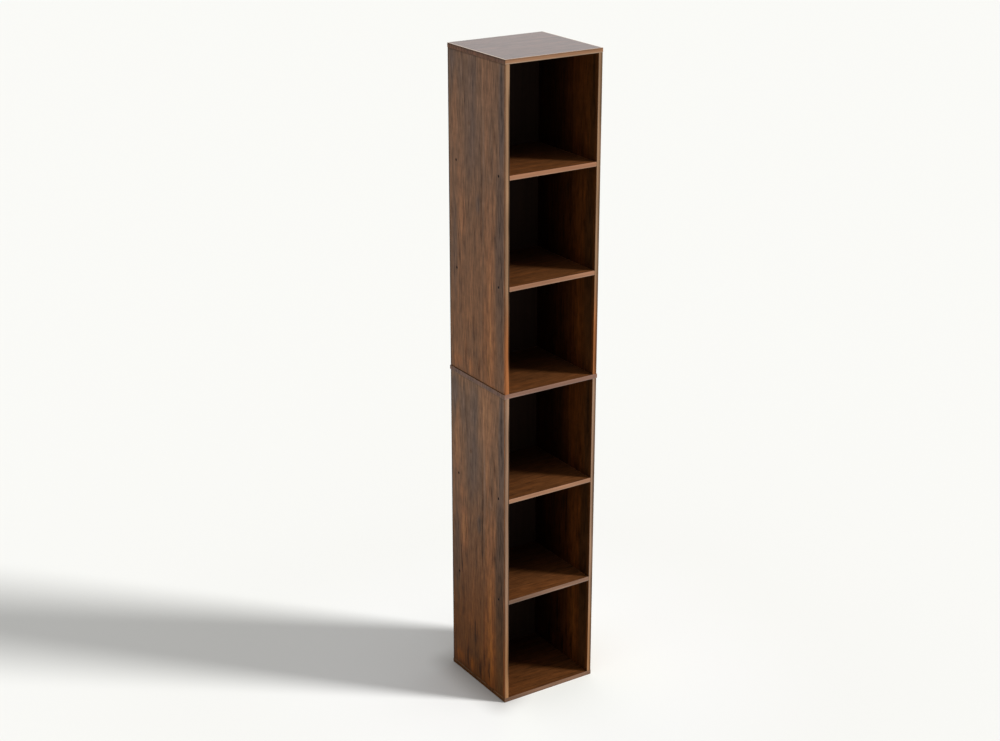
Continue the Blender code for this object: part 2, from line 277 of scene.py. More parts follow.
world = bpy.data.worlds.new("sky")
bpy.context.scene.world = world
world.use_nodes = True
nodes = Nodes(world.node_tree)
height = nodes.parts(nodes.add("TexCoord").outputs["Generated"])[2]
fading = nodes.times(nodes.maths("MAXIMUM", height, 0.0), SKY_OVERHEAD)
path = nodes.add("LightPath").outputs
seen = nodes.maths("MAXIMUM", path["Is Camera Ray"], path["Is Glossy Ray"])
seen = nodes.maths("MAXIMUM", seen, path["Is Transmission Ray"])
strength = nodes.add("Mix", {0: seen, 2: fading, 3: 1.0}).outputs[0]
sky = nodes.add("Background", {"Color": colour(1.0, 1.0, 1.0), "Strength": strength})
world.node_tree.links.new(sky.outputs[0], world.node_tree.nodes["World Output"].inputs["Surface"])
print("sky strength overhead", SKY_OVERHEAD)

# %% [markdown]
# ## The lamp
#
# One large lamp, like a window a few metres off, stands at the front right and throws a long soft
# shadow to the back left. An area lamp could do it, but its rays part, and its shadow grows as it
# falls. A sun lamp with a wide disc was chosen, because its shadow keeps its width and direction and
# still softens the farther it falls.

# %% Lamp
KEY_AZIMUTH = radians(-42.3)  # from +X towards +Y: the lamp is at the front right
KEY_HEIGHT = radians(42)
KEY_DISC = radians(9.3)
KEY_STRENGTH = 3.05
KEY_DISTANCE = 4  # m; a sun lamp's light doesn't depend on it

key_direction = Vector(
    (cos(KEY_HEIGHT) * cos(KEY_AZIMUTH), cos(KEY_HEIGHT) * sin(KEY_AZIMUTH), sin(KEY_HEIGHT))
)
key_data = bpy.data.lights.new("key_lamp", "SUN")
key_data.energy = KEY_STRENGTH
key_data.angle = KEY_DISC
key = bpy.data.objects.new("key_lamp", key_data)
key.location = key_direction * KEY_DISTANCE
key.rotation_euler = key_direction.to_track_quat("Z", "Y").to_euler()
bpy.context.scene.collection.objects.link(key)
print("key lamp from", [round(part, 2) for part in key_direction])

# %% [markdown]
# ## The walnut print
#
# The boards aren't solid walnut: a paper foil printed with walnut grain is pressed on chipboard. A
# print could be a picture wrapped on the board, but a picture has one size and repeats. Here the
# grain is worked out from the place on the board instead, in metres, so that it is sharp from near
# and far.
#
# Walnut shows several things at once, each with its own width and length: wide fields of warm and
# cool brown, streaks about a finger wide, short flecks, a faint ripple across the grain, hair-fine
# fibres, and pores like pencil dashes. Each is one noise, stretched along the grain. A slow wander
# bends them all together, so that no line runs ruler-straight.
#
# Some of these layers move the tone from cool to warm, and some make the print lighter or darker.
# Two tables give each layer's share in either.
#
# All of it stands in one node group. It takes the distance across and along the grain and a number
# that picks the piece of foil. Two more inputs, Warm and Depth, let a board add its own marks.

# %% Walnut print
COOL_BROWN = colour(0.132, 0.078, 0.058)
PLAIN_BROWN = colour(0.195, 0.097, 0.054)
WARM_BROWN = colour(0.266, 0.118, 0.058)
GOLD_BROWN = colour(0.360, 0.170, 0.075)
PORE_BROWN = colour(0.052, 0.027, 0.018)
TONES = ((0.0, COOL_BROWN), (0.36, PLAIN_BROWN), (0.68, WARM_BROWN), (1.0, GOLD_BROWN))
WANDER = 0.010  # m that a grain line strays sideways
SLOW_WAVES = (7, 2.4, 1)  # changes a metre across and along the grain, and detail
QUICK_WAVES = (26, 9, 1)
QUICK_APART = 1.7
LAYERS = {
    # number that parts it from the others, changes a metre across and along the grain, and detail
    "field": (3.1, 17, 1.7, 2),
    "streak": (7.7, 85, 3.5, 3),
    "mottle": (9.3, 42, 13, 2),
    "fleck": (13.9, 190, 26, 3),
    "ripple": (19.1, 24, 90, 2),
    "fibre": (11.3, 520, 13, 2),
    "pore": (17.9, 1700, 75, 1),
}
TONE_SHARES = {"field": 0.40, "streak": 0.28, "mottle": 0.18, "fibre": 0.1}
DEPTH_SHARES = {"streak": 0.8, "fleck": 1.6, "ripple": 0.2, "fibre": 1.3}
MIDDLE_TONE = 0.40
DEPTH_COOLS = -0.5  # a lighter mark is also a little cooler
LEAST_DEPTH = 0.15
PORE_EDGE = (0.12, 0.22)
PORE_STRENGTH = 0.5


def stretched(n, across, along, piece, per_metre_across, per_metre_along, detail):
    """Noise with this many changes a metre across the grain and along it, centred on 0."""
    place = n.vector(n.times(across, per_metre_across), n.times(along, per_metre_along), piece)
    return n.plus(n.noise(place, detail), -0.5)


def bend(n, across, along, piece):
    """The distance across the grain, bent so that grain lines wander."""
    slow = stretched(n, across, along, piece, *SLOW_WAVES)
    quick = stretched(n, across, along, n.plus(piece, QUICK_APART), *QUICK_WAVES)
    return n.plus(across, n.times(slow, 2 * WANDER), n.times(quick, WANDER / 2))


def walnut_print():
    group = bpy.data.node_groups.new("walnut_print", "ShaderNodeTree")
    face = group.interface
    for name in ("Across", "Along", "Piece", "Warm", "Depth"):
        face.new_socket(name=name, in_out="INPUT", socket_type="NodeSocketFloat")
    face.new_socket(name="Colour", in_out="OUTPUT", socket_type="NodeSocketColor")
    face.new_socket(name="Fibre", in_out="OUTPUT", socket_type="NodeSocketFloat")
    n = Nodes(group)
    given = group.nodes.new("NodeGroupInput").outputs

    layers = {}
    for name, (apart, across, along, detail) in LAYERS.items():
        piece = n.plus(given["Piece"], apart)
        layers[name] = stretched(n, given["Across"], given["Along"], piece, across, along, detail)
    pore = n.rise(layers["pore"], *PORE_EDGE)

    def sum_of(shares):
        return n.plus(*[n.times(layers[name], share) for name, share in shares.items()])

    cooling = n.times(given["Depth"], DEPTH_COOLS)
    tone = n.plus(sum_of(TONE_SHARES), cooling, given["Warm"], MIDDLE_TONE)
    shade = n.ramp(tone, *TONES)
    shade = n.mix(n.times(pore, PORE_STRENGTH), shade, PORE_BROWN)
    depth = n.plus(sum_of(DEPTH_SHARES), given["Depth"], 1.0)
    shade = n.scaled(shade, n.maths("MAXIMUM", depth, LEAST_DEPTH))

    output = group.nodes.new("NodeGroupOutput")
    group.links.new(shade, output.inputs["Colour"])
    group.links.new(n.maths("SUBTRACT", layers["fibre"], pore), output.inputs["Fibre"])
    return group


WALNUT_PRINT = walnut_print()
print("walnut print:", len(LAYERS), "layers,", len(WALNUT_PRINT.nodes), "nodes")

# %% [markdown]
# ## Edge band and bare chipboard
#
# A foil ends at the edge of the board, so the edges that show are covered with a thin glued band.
# On this case the front band is much lighter than the faces, and draws the outline of every
# compartment. It could be a strip of its own, but it is less than a millimetre thick, so it is
# drawn in the board's material: a tint of its own with fine lines along it. At the rear, where
# nobody looks, makers leave the chipboard bare. Its chips are the cells of a Voronoi texture,
# flattened as the press flattens them.

# %% Band and chipboard
CHIP_COLOURS = (colour(0.300, 0.190, 0.100), colour(0.520, 0.370, 0.210))
CHIPS_PER_METRE = (330, 330, 620)
# The dark of a glue line, also used for the painted shadow lines along the sides' heads.
GLUE_AND_SHADOW_LINE = colour(0.030, 0.016, 0.010)
FINE_LINES = (5.0, 900, 14, 3)  # piece of noise, changes a metre across and along, and detail
SLOW_CHANGES = (9.0, 60, 6, 1)
FINE_SHARE = 0.6
SLOW_SHARE = 0.7


def band_shade(n, along, across, strength, tint):
    """The tint at this strength, with fine lines and slow changes along the band."""
    fine = n.times(stretched(n, across, along, *FINE_LINES), FINE_SHARE)
    slow = n.times(stretched(n, across, along, *SLOW_CHANGES), SLOW_SHARE)
    return n.scaled(tint, n.plus(strength, fine, slow))


def chipboard_shade(n, place):
    """Pale wood chips about 3 mm long, lying flat in all directions."""
    bent = n.add("VectorMath", {0: place, 1: CHIPS_PER_METRE}, operation="MULTIPLY").outputs[0]
    chips = n.add("TexVoronoi", {"Vector": bent, "Scale": 1.0, "Randomness": 1.0})
    tint = n.add("SeparateColor", {0: chips.outputs["Color"]}).outputs[0]
    return n.mix(tint, *CHIP_COLOURS), chips.outputs["Distance"]


print("chips a metre:", CHIPS_PER_METRE)

# %% [markdown]
# ## The figure on the sides
#
# The foil on the sides has a figure that shows from across the room: a cool dark strip beside the
# front edge, a warm field behind it, a pale streak with a dark seam where two veneers meet, knots
# and dark slits. The noise can't place them, so they are marks in two tables, each an ellipse with
# soft edges: where it is, how large, how far it leans, and how much it changes the print. They were
# placed one after another. The marks are laid over the bent grain, so their outlines follow it. The
# same foil is on the upper and the lower sides, so one pair of tables serves all four.

# %% Marks on the sides, in mm from the front edge and from the lower end of the panel
WARM_MARKS = (
    # across, up, half width, half length, lean, how much warmer
    (25, 300, 24, 400, 0, -0.72),
    (20, 770, 16, 190, 0, -0.57),
    (3, 220, 4.2, 240, 0, 0.34),
    (3, 720, 4.2, 100, 0, 0.34),
    (80, 130, 29, 180, 0, 0.57),
    (73, 330, 25, 110, 0, 0.38),
    (93, 450, 11, 120, 0, 0.46),
    (66, 490, 16, 90, 0, 0.24),
    (91, 650, 12, 90, 0, 0.38),
    (93, 815, 37, 130, 0, 0.40),
    (241, 850, 25, 50, 0, -0.30),
    (134, 482, 11, 32, 0, -0.68),
    (166, 670, 44, 150, 0, -0.38),
    (156, 830, 27, 70, 0, -0.27),
    (203, 800, 23, 90, 0, -0.34),
    (247, 330, 21, 170, 0, -0.46),
    (257, 830, 17, 90, 0, -0.38),
    (243, 690, 16, 110, 0, 0.34),
    (203, 440, 23, 75, 0.03, 0.42),
    (214, 550, 19, 26, 0, 0.23),
    (156, 90, 35, 60, 0, -0.23),
    (237, 28, 31, 22, 0, 0.53),
    (169, 28, 12, 24, 0, 0.46),
)
DEPTH_MARKS = (
    # across, up, half width, half length, lean, how much lighter
    (116, 510, 4.7, 110, 0, -0.62),
    (114, 400, 4.7, 80, 0.04, -0.55),
    (116, 630, 4.2, 60, 0, -0.50),
    (107, 620, 5.7, 140, 0, 0.55),
    (105, 450, 4.2, 80, 0, 0.35),
    (110, 780, 5.2, 70, 0, 0.25),
    (116, 170, 5.2, 120, -0.03, 0.40),
    (89, 430, 4.2, 60, 0, 0.35),
    (74, 605, 8.3, 26, 0, -0.60),
    (75, 562, 13, 9, 0, 0.28),
    (56, 672, 7.3, 38, 0, -0.52),
    (58, 425, 8.3, 38, 0, -0.48),
    (25, 250, 18, 150, 0, -0.32),
    (21, 490, 15, 80, 0, -0.22),
    (18, 780, 10, 120, 0, -0.22),
    (220, 335, 3.6, 110, 0.09, -0.85),
    (211, 205, 3.6, 60, 0.02, -0.60),
    (149, 415, 4.2, 30, 0, -0.50),
    (171, 688, 7, 8, 0, -0.50),
    (193, 790, 8.3, 90, 0, -0.38),
    (134, 482, 9.3, 28, 0, -0.30),
    (83, 50, 6.2, 48, 0, -0.90),
    (105, 78, 5.2, 44, 0, -0.70),
    (94, 100, 3.1, 40, 0, -0.40),
    (127, 34, 8.3, 36, 0, -0.80),
    (191, 50, 6.2, 60, -0.06, -0.80),
    (149, 130, 6.2, 60, 0, -0.55),
)
MARK_EDGE = (1.25, 0.3)  # where a mark begins and is full, in half sizes from its middle
MM_IN_M = 1000


def marks(n, across, up, table):
    """The sum of the table's soft ellipses at this place."""
    begins, full = MARK_EDGE
    total = 0.0
    for middle, height, half_width, half_length, lean, strength in table:
        straight = n.maths("MULTIPLY_ADD", up, -lean, across) if lean else across
        start = (middle - lean * height) / MM_IN_M
        aside = n.maths("MULTIPLY_ADD", straight, MM_IN_M / half_width, -MM_IN_M * start / half_width)
        above = n.maths("MULTIPLY_ADD", up, MM_IN_M / half_length, -height / half_length)
        away = n.length(aside, above)
        inputs = {"Value": away, "From Min": begins, "From Max": full, "To Max": strength}
        total = n.plus(total, n.add("MapRange", inputs, interpolation_type="SMOOTHSTEP").outputs[0])
    return total


print(len(WARM_MARKS) + len(DEPTH_MARKS), "marks on each side")

# %% [markdown]
# ## Where a point lies on its board
#
# A board isn't one finish all over: it has foil on its faces, a band on its front edge and bare
# chipboard at the rear. Each face could have a material of its own, but then every change of shade
# would need another cut in the mesh. Here each board has one material, which works out for any
# point how far it is from the board's faces, in metres. So the corners stay sharp at any zoom.
#
# The case is built the same on the left and on the right, so one material serves both hands: it
# reads the distance from the middle of the case. Only two lips on the front bands tell the left
# from the right.

# %% Where a point lies on its board
SKIN = 0.0002  # m; nearer to a face's plane than this is on the face
DEEPENING = (0.03, 0.24)  # m behind the front edge, from where to where the inside deepens


def from_faces(n, value, low, high):
    """Distance to the nearer of two opposite faces of a board."""
    return n.maths("MINIMUM", n.plus(value, -low), n.maths("SUBTRACT", high, value))


class Spot:
    """Where a point of a board is, as numbers that its material can use, in metres."""

    def __init__(self, n, box, upright):
        self.low, self.high = low, high = box
        self.place = n.place()
        self.x, self.y, self.z = n.parts(self.place)
        aside = n.maths("ABSOLUTE", self.x)
        self.behind_front = n.plus(self.y, -low.y)
        self.before_rear = n.maths("SUBTRACT", high.y, self.y)
        self.deep = n.rise(self.behind_front, *DEEPENING)
        self.above_foot = n.plus(self.z, -low.z)
        self.below_head = n.maths("SUBTRACT", high.z, self.z)
        self.to_end = n.maths("MINIMUM", self.above_foot, self.below_head)
        self.to_front = from_faces(n, self.y, low.y, high.y)
        self.to_outside = n.maths("SUBTRACT", high.x, aside)
        self.to_side = from_faces(n, aside, low.x, high.x) if upright else self.to_outside
        self.outermost = n.maths("LESS_THAN", self.to_outside, SKIN)
        self.inside = n.maths("LESS_THAN", aside, low.x + SKIN)
        self.upward = n.maths("LESS_THAN", self.below_head, SKIN)
        self.rear = n.maths("GREATER_THAN", self.y, high.y - SKIN)


def tinted(n, factor, shade, tint):
    """The shade times this tint, as far as the factor says."""
    return n.mix(factor, shade, tint, blend="MULTIPLY")


print("places on a board ready")

# %% [markdown]
# ## Foil on a side panel
#
# Outside, a side changes its tone from head to foot: paler and greyer at its head, warmer and
# darker at its foot, which is partly painted reflection and painted shade. A thin dark line runs
# along its head, a painted shadow under the edge of the board above, and another along its rear
# edge. Just behind the front band the foil is darker and warmer. Inside, it deepens towards the
# back until it is nearly black, which is painted shade.
#
# On the real case much of this is most likely shade and not pigment. Lamps could give it, but the
# plain light of this scene doesn't, so painted shade stands in for a part of it. It is fixed to the
# board and doesn't follow the camera, but it doesn't follow the lamps either: in another light the
# inside stays dark. For the same reason the band on the left side loses strength at its inner edge,
# and the one on the right side at its outer edge, a painted shade too, though the real two are most
# likely alike.

# %% Foil on a side panel
SIDE_BAND_SHADES = {
    # strength, what its outer edge lacks, tint at the head and tint at the foot
    "upper_side": (0.86, 0.15, (0.345, 0.201, 0.112), (0.373, 0.136, 0.045)),
    "lower_side": (0.98, 0.32, (0.322, 0.194, 0.122), (0.345, 0.173, 0.077)),
}
# Painted shade inside the box, from the front to nearly black at the back.
INSIDE_TONE_AND_PAINTED_SHADE = colour(0.470, 0.310, 0.135)
DEEP_PAINTED_SHADE = colour(0.077, 0.047, 0.019)
# Outer tones from head to foot: partly painted reflection at the head and painted shade at the foot.
HEAD_TONES = {"upper_side": (0.94, 1.03, 1.11), "lower_side": (1.08, 1.15, 1.14)}
FOOT_TONES_AND_PAINTED_SHADE = {"upper_side": (1.06, 0.94, 0.72), "lower_side": (0.70, 0.46, 0.14)}
# The head lines are a painted shadow under the edge of the board above.
# A line: metres from its edge at which it begins and at which it is full, and its strength.
HEAD_SHADOW_LINES = {"upper_side": (0.0042, 0.0026, 0.33), "lower_side": (0.0056, 0.0036, 0.20)}
REAR_LINE = (0.0065, 0.0035, 0.80)
FRONT_LINE = (0.0070, 0.0030)
FRONT_LINE_TINT = colour(1.05, 0.78, 0.50)
# The band, in the same way: what changes towards its foot, its lips and its ends.
FOOT_OF_BAND = (0.32, 0.12)
OUTER_LIP = (0.007, 0.003)
LEFT_INNER_LIP = (0.0050, 0.0022, 0.66)
RIGHT_OUTER_LIP = (0.0085, 0.0050, 0.28)
LIP_ENDS = (0.02, 0.10)


def side_shade(n, name, spot, foil_shade):
    """A side's foil: toned outside; painted shade inside, at its foot and under its head; dark at the
    rear.
    """
    # Painted shade inside, deepening towards the back.
    inner = n.mix(spot.deep, INSIDE_TONE_AND_PAINTED_SHADE, DEEP_PAINTED_SHADE)
    shade = tinted(n, spot.inside, foil_shade, inner)
    # The outer tone, partly painted reflection at the head and painted shade at the foot.
    lowness = n.rise(spot.z, spot.high.z, spot.low.z)
    tone = n.mix(lowness, colour(*HEAD_TONES[name]), colour(*FOOT_TONES_AND_PAINTED_SHADE[name]))
    shade = tinted(n, spot.outermost, shade, tone)
    front_line = n.times(n.rise(spot.behind_front, *FRONT_LINE), spot.outermost)
    shade = tinted(n, front_line, shade, FRONT_LINE_TINT)
    # A painted shadow line under the head, and a dark line along the rear edge.
    lines = []
    for distance, line in ((spot.below_head, HEAD_SHADOW_LINES[name]), (spot.before_rear, REAR_LINE)):
        begins, full, strength = line
        lines.append(n.times(n.rise(distance, begins, full), strength))
    return n.mix(n.times(n.maths("MAXIMUM", *lines), spot.outermost), shade, GLUE_AND_SHADOW_LINE)


def side_band(n, name, spot):
    """The band on a side's front edge."""
    strength, outer_loss, head, foot = SIDE_BAND_SHADES[name]
    tint = n.mix(n.rise(spot.above_foot, *FOOT_OF_BAND), colour(*head), colour(*foot))
    outer_lip = n.rise(spot.to_outside, *OUTER_LIP)
    strength = n.plus(strength, n.times(outer_lip, -outer_loss))

    # Painted shade: the left band darkens at its inner edge, the right band at its outer edge.
    begins, full, loss = LEFT_INNER_LIP
    left_hand = n.maths("LESS_THAN", spot.x, 0.0)
    left_lip = n.rise(spot.x, -spot.low.x - begins, -spot.low.x - full)
    left_lip = n.times(left_lip, left_hand, n.rise(spot.to_end, *LIP_ENDS))
    strength = n.plus(strength, n.times(left_lip, -loss))

    begins, full, loss = RIGHT_OUTER_LIP
    right_lip = n.rise(spot.x, spot.high.x - begins, spot.high.x - full)
    strength = n.plus(strength, n.times(right_lip, -loss))
    return band_shade(n, spot.z, spot.x, strength, tint)


print("side foil ready for", list(SIDE_BAND_SHADES))

# %% [markdown]
# ## Foil on a flat board
#
# The shelves and the three cross boards have the same foil, its grain from left to right. Their
# faces deepen towards the back as the sides do, a painted shade. The ends of the cross boards show
# outside, so each has a tone of its own there.
#
# The upper face of the top board lies in the open light. It is stained greyer than the shelves,
# partly a painted reflection of the pale sky, and its edges carry a pale line, a painted highlight
# where the rounded edge catches the light. A thin dark line lies below them at its ends and its
# front. Every front band has a lip along its lower edge in a tint of its own, a painted highlight,
# and on the bottom board, by the floor, a painted shade. Each of these could be a strip of mesh.
# They are a few millimetres wide and lie flush, so they are mixed in by distance instead.

# %% Foil on a flat board
BAND_SHADES = {
    # strength at the left end and at the right end, and tint
    "top_board": (0.80, 0.80, (0.357, 0.185, 0.099)),
    "upper_shelf_2": (1.00, 1.00, (0.319, 0.152, 0.083)),
    "upper_shelf_1": (0.90, 0.90, (0.343, 0.169, 0.096)),
    "middle_board": (0.80, 0.80, (0.272, 0.147, 0.102)),
    "lower_shelf_2": (0.96, 0.96, (0.348, 0.178, 0.102)),
    "lower_shelf_1": (0.48, 0.86, (0.290, 0.165, 0.108)),
    "bottom_board": (0.59, 0.63, (0.290, 0.160, 0.099)),
}
# A painted highlight along each band's lower edge; on the bottom board, by the floor, a painted shade.
PAINTED_LIP_LIGHT = (1.12, 1.30, 1.50)
PAINTED_LIP_LIGHT_AND_SHADE = {"top_board": (1.15, 1.45, 1.80), "bottom_board": (0.80, 0.80, 0.80)}
SHELF_STAIN = (0.520, 0.385, 0.215)
BOTTOM_STAIN = (0.500, 0.360, 0.190)
# Painted shade: the stain's colour falls to this share at the back.
DEEP_SHELF_PAINTED_SHADE = 0.35  # what is left of the stain's colour at the back
END_STAINS = {
    "middle_board": (0.84, 0.98, 1.32),
    "bottom_board": (0.54, 0.39, 0.12),
    "top_board": (0.74, 0.72, 0.80),
}
# Greyer than the shelves: partly a painted reflection of the pale sky.
TOP_STAIN_AND_PAINTED_SHEEN = colour(0.446, 0.426, 0.543)
# A painted highlight along the top's edges, where the rounded edge catches the light.
PAINTED_ARRIS_HIGHLIGHT = colour(0.740, 0.600, 0.480)
# Metres at which each line begins and at which it is full, and its strength.
ARRIS_HIGHLIGHT_EDGE = (0.0040, 0.0015, 0.9)
LINE_UNDER_ARRIS = (0.0050, 0.0034, 0.50)
LINE_ON_BAND = (0.0045, 0.0025, 0.3)
PAINTED_LIP_EDGE = (0.0040, 0.0015)


def flat_shade(n, name, spot, foil_shade):
    """The foil of a shelf or a cross board: painted shade towards the back, its own tone at the ends.
    """
    stain = BOTTOM_STAIN if name == "bottom_board" else SHELF_STAIN
    # Painted shade, deeper towards the back.
    face = n.mix(spot.deep, colour(*stain), colour(*[part * DEEP_SHELF_PAINTED_SHADE for part in stain]))
    if name == "top_board":
        # On the top's upper face, a greyer stain that paints in a part of the sky's reflection.
        face = n.mix(spot.upward, face, TOP_STAIN_AND_PAINTED_SHEEN)
    if name in END_STAINS:
        face = n.mix(spot.outermost, face, colour(*END_STAINS[name]))
    shade = tinted(n, 1.0, foil_shade, face)
    if name == "top_board":
        # A painted highlight along the top's upper edges.
        begins, full, strength = ARRIS_HIGHLIGHT_EDGE
        arris_highlight = n.rise(n.maths("MINIMUM", spot.to_side, spot.behind_front), begins, full)
        shade = n.mix(n.times(arris_highlight, spot.upward, strength), shade, PAINTED_ARRIS_HIGHLIGHT)
        begins, full, strength = LINE_UNDER_ARRIS
        line = n.times(n.rise(spot.below_head, begins, full), spot.outermost, strength)
        shade = n.mix(line, shade, GLUE_AND_SHADOW_LINE)
    return shade


def flat_band(n, name, spot):
    """A flat board's front band; along its lower edge a painted highlight, on the bottom board painted
    shade.
    """
    left, right, tint = BAND_SHADES[name]
    rightness = n.rise(spot.x, -spot.high.x, spot.high.x)
    strength = n.plus(left, n.times(rightness, right - left))
    band = band_shade(n, spot.x, spot.z, strength, tint)
    # The lip: a painted highlight, or on the bottom board a painted shade.
    painted_lip = n.rise(spot.above_foot, *PAINTED_LIP_EDGE)
    band = tinted(n, painted_lip, band, colour(*PAINTED_LIP_LIGHT_AND_SHADE.get(name, PAINTED_LIP_LIGHT)))
    if name == "top_board":
        begins, full, strength = LINE_ON_BAND
        line = n.times(n.rise(spot.below_head, begins, full), strength)
        band = n.mix(line, band, GLUE_AND_SHADOW_LINE)
    return band


print("flat foil ready for", list(BAND_SHADES))

# %% [markdown]
# ## One material for each kind of board
#
# Each board's material starts from the print, put down the way the board was cut: grain upright on
# the sides, from left to right on the shelves. Over it come the stains with their painted shade and
# light, the band on the first millimetre behind the front edge, the dark glue line behind the band,
# and the bare rear edge.
#
# The foil wears first along the sharp edges, where a hand or a cloth rubs it: a line there is a
# little lighter. It needs the distance to the nearest edge of the board. A point on a face has one
# distance of zero, to that face, so the middle one of its three distances is the one to the edge.
#
# The foil has very little gloss. The number was picked so that its browns don't pale under the white
# sky, and not measured on a foil. Only the upper face of the top board has a coat of clear lacquer,
# which does take up the sky.

# %% Board materials
BAND_THICKNESS = 0.0009
GLUE_WIDTH = 0.00025
WORN_EDGE = colour(0.360, 0.220, 0.130)
WEAR_WIDTH = 0.0016
WEAR_STRENGTH = 0.7
WEAR_PATCHES = 60.0  # changes a metre
MORE_WEAR = 0.1
RUBBED = (0.35, 0.8)  # noise levels at which a patch begins and is fully worn
FIBRE_HEIGHT = 0.4
CHIP_HEIGHT = 2.0
BUMP_STRENGTH = 0.35
BUMP_DEPTH = 0.00006
FOIL_GLOSS = 0.06
FOIL_ROUGHNESS = 0.38
TOP_LACQUER = 0.64
LACQUER_ROUGHNESS = 0.25
SMOOTHER_FIBRES = -0.10
ROUGHER_WEAR = 0.2
ROUGHER_CHIPS = 0.4
FIGURE_STRENGTHS = {"upper_side": 0.62, "lower_side": 1.0}
SIDE_PIECE = 1.0  # all sides have one piece of the print, each flat board has a piece of its own
FIRST_FLAT_PIECE = 40.0
NEXT_PIECE = 9


def foil_print(n, name, spot, piece, upright):
    """The walnut print on a board, its grain upright on a side and from left to right on a shelf."""
    along = spot.above_foot if upright else spot.x
    across = bend(n, spot.behind_front, along, piece)
    foil = n.add("Group", node_tree=WALNUT_PRINT)
    inputs = {"Across": across, "Along": along, "Piece": piece}
    if upright:
        inputs["Warm"] = n.times(marks(n, across, along, WARM_MARKS), FIGURE_STRENGTHS[name])
        inputs["Depth"] = n.times(marks(n, across, along, DEPTH_MARKS), FIGURE_STRENGTHS[name])
    n.feed(foil, inputs)
    return foil.outputs["Colour"], foil.outputs["Fibre"]


def middle_one(n, first, second, third):
    low = n.maths("MINIMUM", first, second)
    high = n.maths("MAXIMUM", first, second)
    return n.maths("MAXIMUM", low, n.maths("MINIMUM", high, third))


def wear_on_edges(n, spot, to_edge):
    """How far the foil is rubbed at this point, from 0 to 1."""
    rubbed = n.plus(n.noise(n.scaled(spot.place, WEAR_PATCHES), 3), MORE_WEAR)
    wear = n.times(n.rise(to_edge, WEAR_WIDTH, 0.0), n.rise(rubbed, *RUBBED))
    return n.times(wear, n.maths("LESS_THAN", spot.y, spot.high.y - 2 * WEAR_WIDTH))


def finish_board(name, box, piece, upright=False):
    """A material for the boards with this box, or with its mirror image on the left."""
    material, n = new_material("walnut_" + name)
    spot = Spot(n, box, upright)
    foil_shade, fibre = foil_print(n, name, spot, piece, upright)
    if upright:
        shade, band = side_shade(n, name, spot, foil_shade), side_band(n, name, spot)
        to_edge = n.maths("MAXIMUM", spot.to_side, spot.to_front)
    else:
        shade, band = flat_shade(n, name, spot, foil_shade), flat_band(n, name, spot)
        to_edge = middle_one(n, spot.to_side, spot.to_front, spot.to_end)

    wear = wear_on_edges(n, spot, to_edge)
    shade = n.mix(n.times(wear, WEAR_STRENGTH), shade, WORN_EDGE)
    glue = n.maths("LESS_THAN", spot.behind_front, BAND_THICKNESS + GLUE_WIDTH)
    shade = n.mix(glue, shade, GLUE_AND_SHADOW_LINE)
    shade = n.mix(n.maths("LESS_THAN", spot.behind_front, BAND_THICKNESS), shade, band)
    chips, gaps = chipboard_shade(n, spot.place)
    shade = n.mix(spot.rear, shade, chips)

    height = n.plus(n.times(fibre, FIBRE_HEIGHT), n.times(spot.rear, gaps, CHIP_HEIGHT))
    bump = n.bump(height, BUMP_STRENGTH, BUMP_DEPTH)
    rough = n.plus(FOIL_ROUGHNESS, n.times(fibre, SMOOTHER_FIBRES), n.times(wear, ROUGHER_WEAR))
    rough = n.plus(rough, n.times(spot.rear, ROUGHER_CHIPS))
    set_shader(material, Base_Color=shade, Roughness=rough, Specular_IOR_Level=FOIL_GLOSS, Normal=bump)
    if name == "top_board":
        coat = n.times(spot.upward, TOP_LACQUER)
        set_shader(material, Coat_Weight=coat, Coat_Roughness=LACQUER_ROUGHNESS)
    return material


def dress(names, material):
    for name in names:
        slots = NODES[name].material_slots
        if not slots:
            NODES[name].data.materials.append(material)
        for slot in slots:
            slot.material = material


for half in ("lower", "upper"):
    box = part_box(f"{half}_right_side")
    side_finish = finish_board(f"{half}_side", box, SIDE_PIECE, upright=True)
    dress([f"{half}_left_side", f"{half}_right_side"], side_finish)
for number, name in enumerate(BAND_SHADES):
    dress([name], finish_board(name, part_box(name), FIRST_FLAT_PIECE + NEXT_PIECE * number))
print("boards dressed:", 4 + len(BAND_SHADES))

# %% [markdown]
# ## The backs
#
# Each half is closed by a sheet of hardboard, 3 mm thick, let into the sides. Its inner face has a
# very dark walnut print, darker than the foil, which is partly painted shade, the dark deep inside
# the boxes. Its outer face is the bare hardboard, with the fine woven marks of the screen that it
# was pressed on. One material shows both, by which side of the sheet's middle a point is on.

# %% Back panels
# Darker than any foil: partly painted shade for the inside of the boxes.
DARK_PRINT_AND_PAINTED_SHADE = (colour(0.010, 0.005, 0.003), colour(0.028, 0.014, 0.008))
HARDBOARD = (colour(0.150, 0.085, 0.045), colour(0.230, 0.140, 0.078))
# Changes a metre across and upwards, number that parts it from the others, detail and roughness.
PRINT_GRAIN = (90, 4, 3.0, 3)
CLOUDS = (40, 40, 8.0, 5, 0.7)
SPECKS = (900, 900, 2.0, 2)
CLOUD_EDGE = (0.30, 0.70)
SPECK_SHARE = 0.8
SCREEN_MARK = colour(0.06, 0.03, 0.015)
SCREEN_PITCH = 0.0016
SCREEN_EDGE = (-0.2, 1.0)
SCREEN_STRENGTH = 0.35
SCREEN_BUMP = (0.5, 0.0001)  # strength and depth
BACK_ROUGHNESS = 0.5
ROUGHER_OUTSIDE = 0.25
BACK_GLOSS = 0.1


